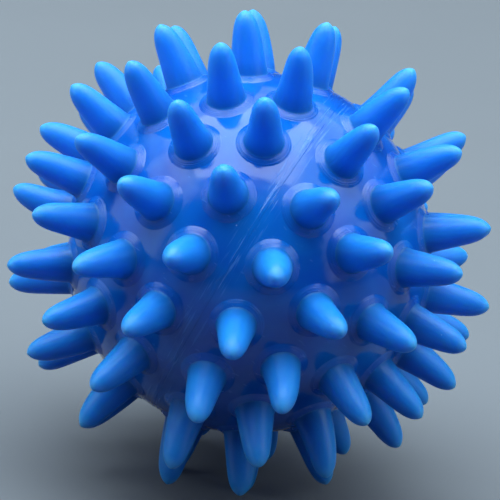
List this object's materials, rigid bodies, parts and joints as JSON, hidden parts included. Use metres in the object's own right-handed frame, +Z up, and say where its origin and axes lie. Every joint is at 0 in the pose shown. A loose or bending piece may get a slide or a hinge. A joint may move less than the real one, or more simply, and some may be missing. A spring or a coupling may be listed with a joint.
{
  "type": "spiky sensory ball",
  "caption": "Hollow soft-plastic ball of two welded halves with rows of blunt tapered spikes on low collars and a plugged air valve, for squeezing and massage.",
  "frame": {"origin": "on the surface that the ball stands on, straight below the ball's centre", "axes": "+Z up; -Y is the front, where the weld line's longitude 0 faces; +X to the right seen from the front"},
  "size_m": [0.089, 0.0894, 0.0879],
  "materials": {
    "skin": "glossy soft PVC, slightly translucent",
    "spike": "satin soft PVC, paler at the tips",
    "plug": "soft PVC with a satin head"
  },
  "bodies": {
    "ball": {"north_half_shell": "skin", "south_half_shell": "skin", "seam_bead": "skin", "north_spikes_row_1": "spike", "north_spikes_row_2": "spike", "north_spikes_row_3": "spike", "north_spikes_row_4": "spike", "north_pole_spike": "spike", "south_spikes_row_1": "spike", "south_spikes_row_2": "spike", "south_spikes_row_3": "spike", "south_spikes_row_4": "spike", "south_pole_spike": "spike", "valve_seat": "skin"},
    "plug": {"valve_plug": "plug"}
  },
  "joints": [
    {"name": "plug_pull", "type": "slide", "parent": "ball", "child": "plug", "axis": [-0.37, 0.9267, 0.0662], "range_m": [0, 0.009]}
  ]
}
